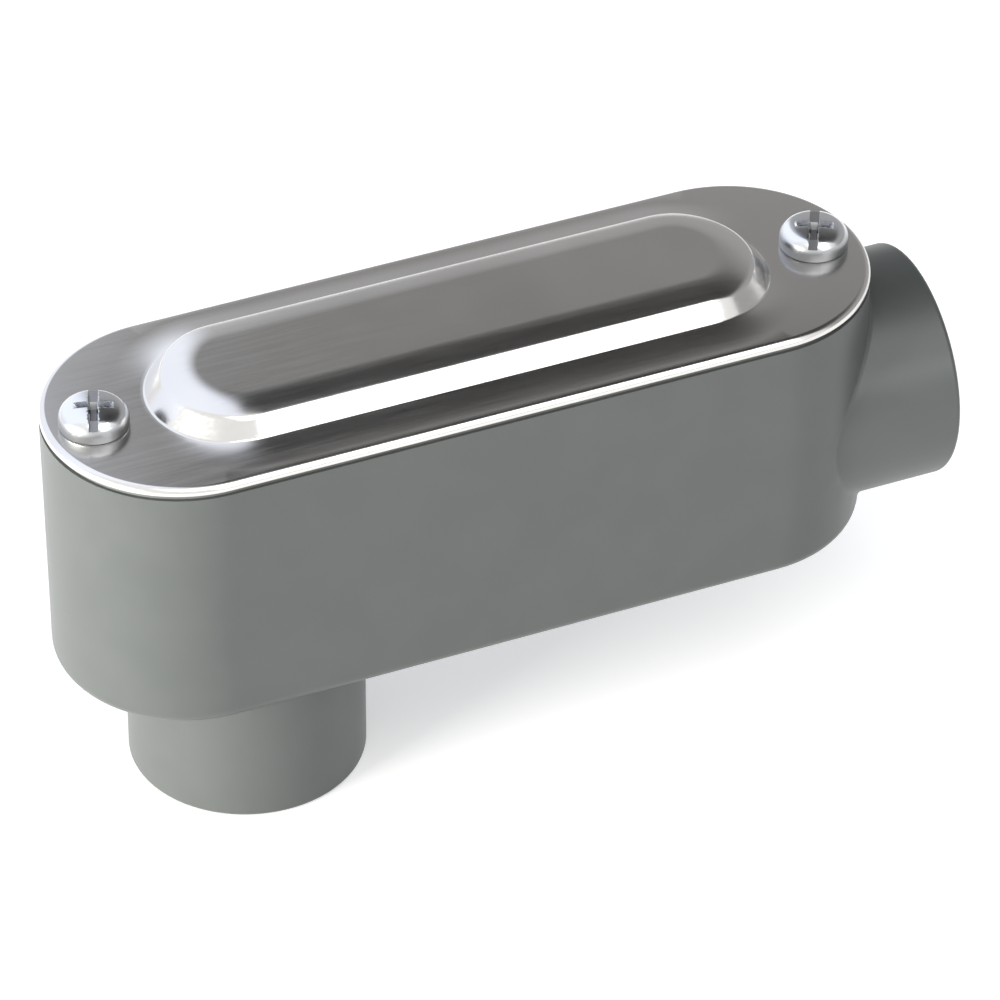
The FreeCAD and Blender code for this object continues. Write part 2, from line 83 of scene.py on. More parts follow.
# ---------------------------------------------------------------- shared mesh work


def new_piece(name: str, bm: Mesh, scale: float = MM) -> Piece:
    """Turn a finished bmesh into a piece at the origin.

    Args:
        name: Name of the piece.
        bm: Its mesh. It is freed.
        scale: Metres in one unit of the mesh.

    Returns:
        The new object.
    """
    bmesh.ops.scale(bm, vec=Vector((scale, scale, scale)), verts=bm.verts)
    mesh = bpy.data.meshes.new(name)
    bm.to_mesh(mesh)
    bm.free()
    piece = bpy.data.objects.new(name, mesh)
    bpy.context.scene.collection.objects.link(piece)
    return piece


def shade(bm: Mesh, crease: float) -> None:
    """Shade every face smooth and every edge sharper than a limit hard.

    Args:
        bm: Mesh to shade.
        crease: Largest angle, in degrees, that is still shaded smooth.
    """
    limit = math.radians(crease)
    for face in bm.faces:
        face.smooth = True
    for edge in bm.edges:
        edge.smooth = len(edge.link_faces) == 2 and edge.calc_face_angle(0.0) < limit


def even_normals(piece: Piece) -> None:
    """Keep flat faces flat where they run into a rounding."""
    modifier = piece.modifiers.new("even_normals", "WEIGHTED_NORMAL")
    modifier.mode = "FACE_AREA_WITH_ANGLE"
    modifier.keep_sharp = True


def finished(name: str, bm: Mesh, finish: Material) -> Piece:
    """Turn a finished mesh into a dressed piece.

    Args:
        name: Name of the piece.
        bm: Its mesh, in millimetres. It is freed.
        finish: Its material.

    Returns:
        The piece.
    """
    piece = new_piece(name, bm)
    even_normals(piece)
    piece.data.materials.append(finish)
    return piece


def cad_copy(node: Piece) -> Mesh:
    """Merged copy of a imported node, in millimetres.

    Args:
        node: The node's object, which stays as it is.

    Returns:
        A new bmesh.
    """
    bm = bmesh.new()
    bm.from_mesh(node.data)
    for layer in list(bm.loops.layers.float_vector.values()):
        bm.loops.layers.float_vector.remove(layer)
    bmesh.ops.scale(bm, vec=Vector((1 / MM, 1 / MM, 1 / MM)), verts=bm.verts)
    bmesh.ops.remove_doubles(bm, verts=bm.verts, dist=CAD_WELD)
    bmesh.ops.dissolve_degenerate(bm, dist=CAD_SLIVER, edges=bm.edges)
    return bm


@dataclass(frozen=True)
class Axis:
    """A round feature's axis: a point at its start, and the turn that lays +Z along it."""

    start: Vector
    turn: Matrix

    def matrix(self) -> Matrix:
        """Transform from the feature's own frame to the object's."""
        return Matrix.Translation(self.start) @ self.turn.to_4x4()

    def local(self, point: Vector) -> Vector:
        """A point of the object in the feature's own frame."""
        return self.turn.transposed() @ (point - self.start)


class ThreadSide(Enum):
    """Which side of its wall a thread is cut into."""

    INTERNAL = 1.0
    EXTERNAL = -1.0


@dataclass(frozen=True)
class Thread:
    """A sixty-degree thread on a round wall.

    The wall's own radius is the crest of the thread, and the roots are cut deeper. The skin stops a seam's
    width short of the wall's rims, so that a narrow ring joins them.
    """

    crest_radius: float
    depth: float
    pitch: float
    start: float
    end: float
    side: ThreadSide
    run_out: float
    steps_per_turn: int = 64
    seam: float = 0.04
    height_slack: float = 0.01
    rim_slack: float = 0.03
    least_climb: float = 0.05

    def root_radius(self) -> float:
        """Radius at the bottom of the groove."""
        return self.crest_radius + self.side.value * self.depth

    def build(self, axis: Axis) -> Mesh:
        """Sweep one pitch of the profile up the wall and trim both ends.

        Args:
            axis: Where the threaded wall stands.

        Returns:
            The thread's skin, in the object's frame.
        """
        bm = bmesh.new()
        flank = self.depth * math.tan(math.radians(30.0))
        land = max(0.02, (self.pitch - 2 * flank) / 2)
        crest, root = self.crest_radius, self.root_radius()
        corners = (
            (crest, 0.0), (crest, land), (root, land + flank), (root, 2 * land + flank), (crest, self.pitch),
        )
        verts = [bm.verts.new((radius, 0.0, self.start - self.pitch + height)) for radius, height in corners]
        edges = [bm.edges.new(pair) for pair in zip(verts, verts[1:])]
        turns = math.ceil((self.end - self.start) / self.pitch) + 2
        steps = turns * self.steps_per_turn
        bmesh.ops.spin(
            bm, geom=verts + edges, cent=(0, 0, 0), axis=(0, 0, 1), angle=math.tau * turns, steps=steps,
            dvec=(0, 0, self.pitch / self.steps_per_turn), use_merge=False, use_normal_flip=False,
            use_duplicate=False,
        )
        bmesh.ops.remove_doubles(bm, verts=bm.verts, dist=SKIN_WELD)
        for height, upward in ((self.start + self.seam, -1.0), (self.end - self.seam, 1.0)):
            bmesh.ops.bisect_plane(
                bm, geom=bm.verts[:] + bm.edges[:] + bm.faces[:], dist=1e-5,
                plane_co=(0, 0, height), plane_no=(0, 0, upward), clear_outer=True,
            )
        self._fade_ends(bm)
        bmesh.ops.transform(bm, matrix=axis.matrix(), verts=bm.verts)
        return bm

    def _fade_ends(self, bm: Mesh) -> None:
        """Let the groove run out at both ends of the wall.

        Args:
            bm: The thread's skin, in its own frame.
        """
        for vert in bm.verts:
            flat = Vector((vert.co.x, vert.co.y))
            inside = min(vert.co.z - self.start, self.end - vert.co.z) - self.seam
            allowed = self.depth * min(1.0, max(0.0, inside / self.run_out))
            cut = abs(flat.length - self.crest_radius)
            if cut > allowed:
                flat *= (self.crest_radius + self.side.value * allowed) / flat.length
                vert.co.x, vert.co.y = flat

    def cut_into(self, bm: Mesh, axis: Axis) -> int:
        """Swap a plain round wall of a mesh for this thread.

        Args:
            bm: Mesh with the plain wall.
            axis: The wall's axis.

        Returns:
            How many plain faces were taken out.
        """
        plain = [face for face in bm.faces if self._on_wall(face, axis)]
        bmesh.ops.delete(bm, geom=plain, context="FACES")
        open_edges = [edge for edge in bm.edges if edge.is_boundary]
        skin = self.build(axis)
        mesh = bpy.data.meshes.new("thread_skin")
        skin.to_mesh(mesh)
        skin.free()
        before = set(bm.edges)
        bm.from_mesh(mesh)
        bpy.data.meshes.remove(mesh)
        rims = [edge for edge in bm.edges if edge not in before and edge.is_boundary]
        for height in (self.start, self.end):
            candidates = [edge for edge in open_edges + rims if edge.is_valid]
            pair = [edge for edge in candidates if self._at_height(edge, axis, height)]
            bmesh.ops.bridge_loops(bm, edges=pair)
        return len(plain)

    def _on_wall(self, face: bmesh.types.BMFace, axis: Axis) -> bool:
        """Tell a face of the plain wall from the rest.

        Args:
            face: The face.
            axis: The wall's axis.

        Returns:
            True where it is a face of the wall.
        """
        spots = [axis.local(vert.co) for vert in face.verts]
        heights = [spot.z for spot in spots]
        if any(abs(math.hypot(spot.x, spot.y) - self.crest_radius) > ON_WALL for spot in spots):
            return False
        within = self.start - self.height_slack < min(heights) and max(heights) < self.end + self.height_slack
        return within and max(heights) - min(heights) > self.least_climb

    def _at_height(self, edge: bmesh.types.BMEdge, axis: Axis, height: float) -> bool:
        """Tell an edge of the wall's rim, or of the skin's, from the rest.

        Args:
            edge: The edge.
            axis: The wall's axis.
            height: Height of the rim along it.

        Returns:
            True where it is an edge of that rim.
        """
        spots = [axis.local(vert.co) for vert in edge.verts]
        return all(
            abs(spot.z - height) < self.seam + self.height_slack
            and abs(math.hypot(spot.x, spot.y) - self.crest_radius) < self.rim_slack
            for spot in spots
        )


# ---------------------------------------------------------------- node work


class NodeGraph:
    """Small helper that adds and links nodes in one tree."""

    def __init__(self, tree: Tree) -> None:
        """Take over a tree and empty it."""
        self.tree = tree
        tree.nodes.clear()

    def add(self, kind: str, **settings: object) -> Node:
        """Add a node.

        Args:
            kind: Its type.
            **settings: Its plain properties.

        Returns:
            The node.
        """
        node = self.tree.nodes.new(kind)
        for key, value in settings.items():
            setattr(node, key, value)
        return node

    def link(self, source: Socket, target: Socket) -> None:
        """Join an output to an input."""
        self.tree.links.new(source, target)

    def math(self, operation: str, *values: object, clamp: bool = False) -> Socket:
        """Math node.

        Args:
            operation: What it works out.
            *values: Numbers or sockets for its inputs.
            clamp: True to keep the result from 0 to 1.

        Returns:
            Its result.
        """
        node = self.add("ShaderNodeMath", operation=operation, use_clamp=clamp)
        for socket, value in zip(node.inputs, values):
            self.feed(socket, value)
        return node.outputs[0]

    def vector(self, operation: str, *values: object, out: int = 0) -> Socket:
        """Vector Math node.

        Args:
            operation: What it works out.
            *values: Vectors or sockets for its inputs.
            out: Which output is wanted: 0 for the vector, 1 for the number.

        Returns:
            That output.
        """
        node = self.add("ShaderNodeVectorMath", operation=operation)
        for socket, value in zip(node.inputs, values):
            self.feed(socket, value)
        return node.outputs[out]

    def feed(self, socket: Socket, value: object) -> None:
        """Link a socket, or set its own value.

        Args:
            socket: The input.
            value: An output to link to it, or a constant.
        """
        if isinstance(value, Socket):
            self.link(value, socket)
        else:
            socket.default_value = value

    def spread(self, value: object, low: object, high: object, to_low: object, to_high: object,
               smooth: bool = False) -> Socket:
        """Clamped Map Range node.

        Args:
            value: What is mapped.
            low: Where the range starts.
            high: Where it ends.
            to_low: The result at its start.
            to_high: The result at its end.
            smooth: True to ease in and out.

        Returns:
            Its result.
        """
        node = self.add("ShaderNodeMapRange", clamp=True)
        node.interpolation_type = "SMOOTHSTEP" if smooth else "LINEAR"
        for index, item in enumerate((value, low, high, to_low, to_high)):
            self.feed(node.inputs[index], item)
        return node.outputs[0]

    def _mixed(self, kind: str, inputs: tuple[int, int, int], values: tuple[object, ...],
               out: int) -> Socket:
        """Mix node of one kind.

        Args:
            kind: What it mixes.
            inputs: Its sockets for the factor and both values.
            values: Constants or sockets for these.
            out: Its socket for the result.

        Returns:
            The result.
        """
        node = self.add("ShaderNodeMix", data_type=kind)
        for index, value in zip(inputs, values):
            self.feed(node.inputs[index], value)
        return node.outputs[out]

    def mix(self, factor: object, first: object, second: object) -> Socket:
        """Mix two colours."""
        return self._mixed("RGBA", (0, 6, 7), (factor, first, second), 2)

    def blend(self, factor: object, first: object, second: object) -> Socket:
        """Mix two numbers."""
        return self._mixed("FLOAT", (0, 2, 3), (factor, first, second), 0)


def rgba(colour: Colour) -> tuple[float, float, float, float]:
    """A colour with full alpha."""
    return (*colour, 1.0)


def group_tree(name: str, inputs: dict[str, str],
               outputs: dict[str, str]) -> tuple[Tree, NodeGraph]:
    """Empty shader node group with named sockets.

    Args:
        name: The group's name.
        inputs: Socket kind for each input's name.
        outputs: Socket kind for each output's name.

    Returns:
        The group and a graph over it.
    """
    tree = bpy.data.node_groups.new(name, "ShaderNodeTree")
    graph = NodeGraph(tree)
    for in_out, sockets in (("INPUT", inputs), ("OUTPUT", outputs)):
        for socket, kind in sockets.items():
            tree.interface.new_socket(socket, in_out=in_out, socket_type=f"NodeSocket{kind}")
    return tree, graph


def build_grain_group() -> Tree:
    """Fine relief and broad clouding of a skin, with its own stretch along each axis.

    Returns:
        The group.
    """
    tree, graph = group_tree(
        "skin_grain",
        {"Position": "Vector", "Stretch": "Vector", "Fine Scale": "Float", "Broad Scale": "Float"},
        {"Relief": "Float", "Cloud": "Float"},
    )
    given = graph.add("NodeGroupInput")
    result = graph.add("NodeGroupOutput")
    stretched = graph.vector("MULTIPLY", given.outputs["Position"], given.outputs["Stretch"])
    noises = []
    for place, size, detail, rough in (
        (stretched, "Fine Scale", FINE_DETAIL, FINE_ROUGHNESS),
        (given.outputs["Position"], "Broad Scale", BROAD_DETAIL, BROAD_ROUGHNESS),
    ):
        noise = graph.add("ShaderNodeTexNoise")
        noise.inputs["Detail"].default_value = detail
        noise.inputs["Roughness"].default_value = rough
        graph.link(place, noise.inputs["Vector"])
        graph.link(given.outputs[size], noise.inputs["Scale"])
        noises.append(noise.outputs[0])
    graph.link(noises[0], result.inputs["Relief"])
    graph.link(graph.spread(noises[1], *CLOUD_RANGE, 0.0, 1.0, smooth=True), result.inputs["Cloud"])
    return tree


def build_tube_mask_group() -> Tree:
    """Mask of what lies inside a round tube: 1 nearer to its axis than a radius, within a length.

    Returns:
        The group.
    """
    tree, graph = group_tree(
        "inside_tube",
        {
            "Position": "Vector", "Start": "Vector", "Direction": "Vector",
            "Radius": "Float", "Length": "Float",
        },
        {"Mask": "Float"},
    )
    given = graph.add("NodeGroupInput")
    result = graph.add("NodeGroupOutput")
    offset = graph.vector("SUBTRACT", given.outputs["Position"], given.outputs["Start"])
    along = graph.vector("DOT_PRODUCT", offset, given.outputs["Direction"], out=1)
    across = graph.vector("LENGTH", graph.vector("CROSS_PRODUCT", offset, given.outputs["Direction"]), out=1)
    near = graph.math("LESS_THAN", across, given.outputs["Radius"])
    started = graph.math("GREATER_THAN", along, 0.0)
    ended = graph.math("LESS_THAN", along, given.outputs["Length"])
    graph.link(graph.math("MULTIPLY", graph.math("MULTIPLY", near, started), ended), result.inputs["Mask"])
    return tree


@dataclass
class Effects:
    """The shared node groups, built once."""

    grain: Tree
    tube: Tree

    @classmethod
    def build(cls) -> Effects:
        """Make every shared group."""
        return cls(build_grain_group(), build_tube_mask_group())


class Grain(Enum):
    """Which way a skin's fine relief runs."""

    EVEN = (1.0, 1.0, 1.0)
    ALONG = (0.05, 1.0, 1.0)


def start_material(name: str) -> tuple[Material, NodeGraph, Node, Socket]:
    """New material with a Principled shader.

    Args:
        name: The material's name.

    Returns:
        The material, its graph, the shader node and the Object coordinates.
    """
    material = bpy.data.materials.new(name)
    material.use_nodes = True
    graph = NodeGraph(material.node_tree)
    output = graph.add("ShaderNodeOutputMaterial")
    shader = graph.add("ShaderNodeBsdfPrincipled")
    graph.link(shader.outputs[0], output.inputs["Surface"])
    position = graph.add("ShaderNodeTexCoord").outputs["Object"]
    return material, graph, shader, position


def add_grain(graph: NodeGraph, effects: Effects, position: Socket, grain: Grain, fine: float,
              broad: float) -> Node:
    """Place the shared grain group with one material's values.

    Args:
        graph: The material's graph.
        effects: Shared node groups.
        position: The Object coordinates.
        grain: Which way the relief runs.
        fine: Scale of the relief.
        broad: Scale of the clouding.

    Returns:
        The group's node.
    """
    node = graph.add("ShaderNodeGroup", node_tree=effects.grain)
    graph.link(position, node.inputs["Position"])
    node.inputs["Stretch"].default_value = grain.value
    node.inputs["Fine Scale"].default_value = fine
    node.inputs["Broad Scale"].default_value = broad
    return node


def add_bump(graph: NodeGraph, shader: Node, height: Socket, strength: float,
             distance: float) -> None:
    """Feed a height to the shader's normal.

    Args:
        graph: The material's graph.
        shader: Its Principled shader.
        height: The height.
        strength: Strength of the bump.
        distance: Its depth, in metres.
    """
    bump = graph.add("ShaderNodeBump")
    bump.inputs["Strength"].default_value = strength
    bump.inputs["Distance"].default_value = distance
    graph.link(height, bump.inputs["Height"])
    graph.link(bump.outputs[0], shader.inputs["Normal"])


@dataclass(frozen=True)
class HubTube:
    """Where a hub's cut thread lies, in metres, for the bare metal in it."""

    start: Point
    direction: Point
    radius: float
    length: float


@dataclass(frozen=True)
class EnamelFinish:
    """Satin grey enamel with metal pigment over a casting, bare where the hub threads are cut."""

    light: Colour = (0.109, 0.116, 0.113)
    dark: Colour = (0.104, 0.111, 0.108)
    bare: Colour = (0.55, 0.55, 0.54)
    sheen_roughness: tuple[float, float] = (0.37, 0.40)
    bare_roughness: float = 0.28
    metal: float = 0.3
    scales: tuple[float, float] = (1500.0, 140.0)
    bump: tuple[float, float] = (0.10, 0.00006)

    def make(self, effects: Effects, tubes: tuple[HubTube, ...]) -> Material:
        """Build the material.

        Args:
            effects: Shared node groups.
            tubes: The bare threads.

        Returns:
            The material.
        """
        material, graph, shader, position = start_material("housing_enamel")
        grain = add_grain(graph, effects, position, Grain.EVEN, *self.scales)
        bare: Socket | float = 0.0
        for tube in tubes:
            node = graph.add("ShaderNodeGroup", node_tree=effects.tube)
            graph.link(position, node.inputs["Position"])
            for socket in ("Start", "Direction", "Radius", "Length"):
                node.inputs[socket].default_value = getattr(tube, socket.lower())
            bare = graph.math("MAXIMUM", bare, node.outputs["Mask"])
        enamel = graph.mix(grain.outputs["Cloud"], rgba(self.dark), rgba(self.light))
        graph.link(graph.mix(bare, enamel, rgba(self.bare)), shader.inputs["Base Color"])
        roughness = graph.spread(grain.outputs["Cloud"], 0.0, 1.0, *self.sheen_roughness)
        graph.link(graph.blend(bare, roughness, self.bare_roughness), shader.inputs["Roughness"])
        graph.link(graph.blend(bare, self.metal, 1.0), shader.inputs["Metallic"])
        add_bump(graph, shader, grain.outputs["Relief"], *self.bump)
        return material


@dataclass(frozen=True)
class SheetFinish:
    """Bare stamped sheet with a satin sheen and faint rolling lines along its length."""

    light: Colour = (0.80, 0.785, 0.765)
    dark: Colour = (0.74, 0.725, 0.705)
    roughness: tuple[float, float] = (0.15, 0.21)
    relief_range: tuple[float, float] = (0.3, 0.7)
    scales: tuple[float, float] = (1800.0, 45.0)
    bump: tuple[float, float] = (0.06, 0.00004)

    def make(self, effects: Effects) -> Material:
        """Build the material.

        Args:
            effects: Shared node groups.

        Returns:
            The material.
        """
        material, graph, shader, position = start_material("cover_steel")
        rolled = add_grain(graph, effects, position, Grain.ALONG, *self.scales)
        metal = graph.mix(rolled.outputs["Cloud"], rgba(self.dark), rgba(self.light))
        graph.link(metal, shader.inputs["Base Color"])
        blur = graph.spread(rolled.outputs["Relief"], *self.relief_range, *self.roughness)
        graph.link(blur, shader.inputs["Roughness"])
        shader.inputs["Metallic"].default_value = 1.0
        add_bump(graph, shader, rolled.outputs["Relief"], *self.bump)
        return material


@dataclass(frozen=True)
class ZincFinish:
    """Bright zinc plate, with painted shade darkening the slot and cross recess."""

    bright: Colour = (0.80, 0.81, 0.83)
    # painted shade: dark colour laid into the slot and cross, where shade falls in the recess
    recess_shade_colour: Colour = (0.13, 0.135, 0.14)
    roughness: tuple[float, float] = (0.14, 0.22)
    recess_roughness: float = 0.45
    recess_depths: tuple[float, float] = (2.0, 0.6)
    painted_shade_strength: float = 0.75
    scales: tuple[float, float] = (2600.0, 220.0)
    bump: tuple[float, float] = (0.05, 0.00003)

    def make(self, effects: Effects, crown_height: float) -> Material:
        """Build the material.

        Args:
            effects: Shared node groups.
            crown_height: Height of the heads' tops, in metres.

        Returns:
            The material.
        """
        material, graph, shader, position = start_material("screw_zinc")
        plate = add_grain(graph, effects, position, Grain.EVEN, *self.scales)
        height = graph.add("ShaderNodeSeparateXYZ")
        graph.link(position, height.inputs[0])
        # painted shade: the colour darkens with depth below the crown, standing in for shade in the recess
        levels = (crown_height - depth * MM for depth in self.recess_depths)
        deep = graph.spread(height.outputs[2], *levels, 1.0, 0.0, smooth=True)
        shade_mask = graph.math("MULTIPLY", deep, self.painted_shade_strength)
        graph.link(graph.mix(shade_mask, rgba(self.bright), rgba(self.recess_shade_colour)), shader.inputs["Base Color"])
        blur = graph.spread(plate.outputs["Cloud"], 0.0, 1.0, *self.roughness)
        graph.link(graph.blend(shade_mask, blur, self.recess_roughness), shader.inputs["Roughness"])
        shader.inputs["Metallic"].default_value = 1.0
        add_bump(graph, shader, plate.outputs["Relief"], *self.bump)
        return material


@dataclass(frozen=True)
class RubberFinish:
    """Matt grey sheet rubber."""

    light: Colour = (0.150, 0.158, 0.155)
    dark: Colour = (0.115, 0.121, 0.119)
    roughness: tuple[float, float] = (0.7, 0.85)
    scales: tuple[float, float] = (2200.0, 150.0)
    bump: tuple[float, float] = (0.25, 0.00005)

    def make(self, effects: Effects) -> Material:
        """Build the material.

        Args:
            effects: Shared node groups.

        Returns:
            The material.
        """
        material, graph, shader, position = start_material("gasket_rubber")
        skin = add_grain(graph, effects, position, Grain.EVEN, *self.scales)
        cloud = skin.outputs["Cloud"]
        graph.link(graph.mix(cloud, rgba(self.dark), rgba(self.light)), shader.inputs["Base Color"])
        graph.link(graph.spread(cloud, 0.0, 1.0, *self.roughness), shader.inputs["Roughness"])
        add_bump(graph, shader, skin.outputs["Relief"], *self.bump)
        return material


# ---------------------------------------------------------------- pieces


BACK_AXIS = Axis(Vector((0.0, 0.0, 0.0)), Matrix.Identity(3))
END_AXIS = Axis(Vector((100.3, 0.0, 37.3)), Matrix(((0, 0, -1), (0, 1, 0), (1, 0, 0))))


@dataclass
class HousingCasting:
    """Cast trough with its two hubs, whose plain bores become cut threads."""

    bore_radius: float = 11.9
    bore_start: float = 0.6
    bore_end: float = 13.5
    thread_pitch: float = 25.4 / 14
    thread_depth: float = 1.1
    thread_run_out: float = 1.6
    bare_margin: float = 0.15
    bare_reach: float = 0.2
    crease: float = 24.0

    def build(self, node: Piece, finish: Material) -> Piece:
        """Copy the casting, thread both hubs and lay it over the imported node.

        Args:
            node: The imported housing.
            finish: Its enamel.

        Returns:
            The piece.
        """
        bm = cad_copy(node)
        shade(bm, self.crease)
        thread = Thread(
            self.bore_radius, self.thread_depth, self.thread_pitch, self.bore_start, self.bore_end,
            ThreadSide.INTERNAL, run_out=self.thread_run_out,
        )
        for label, axis in (("back", BACK_AXIS), ("end", END_AXIS)):
            taken = thread.cut_into(bm, axis)
            LOG.info("%s hub: %d plain faces became a thread", label, taken)
        for edge in bm.edges:
            if len(edge.link_faces) == 2 and edge.calc_face_angle(0.0) > math.radians(self.crease):
                edge.smooth = False
        bmesh.ops.recalc_face_normals(bm, faces=bm.faces)
        piece = finished("housing_casting", bm, finish)
        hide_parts(node.name)
        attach(piece, "housing")
        return piece

    def tubes(self) -> tuple[HubTube, ...]:
        """The two threaded lengths, for the bare metal in them.

        Returns:
            A tube for each hub.
        """
        radius = (self.bore_radius + self.thread_depth + self.bare_reach) * MM
        length = (self.bore_end - self.bore_start + 2 * self.bare_margin) * MM
        found = []
        for axis in (BACK_AXIS, END_AXIS):
            direction = axis.turn @ Vector((0.0, 0.0, 1.0))
            start = (axis.start + direction * (self.bore_start - self.bare_margin)) * MM
            found.append(HubTube(tuple(start), tuple(direction), radius, length))
        return tuple(found)


def stadium(bm: Mesh, left: float, right: float, radius: float, height: float,
            segments: int) -> Loop:
    """Level round-ended loop along X.

    Args:
        bm: Mesh that takes the loop.
        left: X of the left end's centre.
        right: X of the right end's centre.
        radius: Radius of both ends.
        height: Z of the loop.
        segments: Steps round each end.

    Returns:
        The loop's edges.
    """
    spots = []
    for centre, first in ((right, -90.0), (left, 90.0)):
        for step in range(segments + 1):
            angle = math.radians(first + 180.0 * step / segments)
            spots.append((centre + radius * math.cos(angle), radius * math.sin(angle), height))
    verts = [bm.verts.new(spot) for spot in spots]
    return [bm.edges.new((vert, verts[index - 1])) for index, vert in enumerate(verts)]


def circle(bm: Mesh, centre: tuple[float, float, float], radius: float,
           segments: int) -> Loop:
    """Level open circle.

    Args:
        bm: Mesh that takes the circle.
        centre: Its centre.
        radius: Its radius.
        segments: Steps round it.

    Returns:
        The circle's edges.
    """
    made = bmesh.ops.create_circle(
        bm, cap_ends=False, radius=radius, segments=segments, matrix=Matrix.Translation(Vector(centre)),
    )
    return list(dict.fromkeys(edge for vert in made["verts"] for edge in vert.link_edges))


def join_loops(bm: Mesh, loops: list[Loop]) -> None:
    """Bridge each loop to the next.

    Args:
        bm: Mesh that holds them.
        loops: Loops with the same number of corners, in order.
    """
    for one, other in zip(loops, loops[1:]):
        bmesh.ops.bridge_loops(bm, edges=one + other)


def arc(centre: tuple[float, float], radius: float, first: float, last: float,
        steps: int) -> Section:
    """Points of a section's arc.

    Args:
        centre: Its centre, as half-width and height.
        radius: Its radius.
        first: Tilt from upright at the start, in degrees.
        last: Tilt at the end.
        steps: Number of segments.

    Returns:
        The points, ends included.
    """
    tilts = [math.radians(first + (last - first) * step / steps) for step in range(steps + 1)]
    return [(centre[0] + radius * math.sin(tilt), centre[1] + radius * math.cos(tilt)) for tilt in tilts]


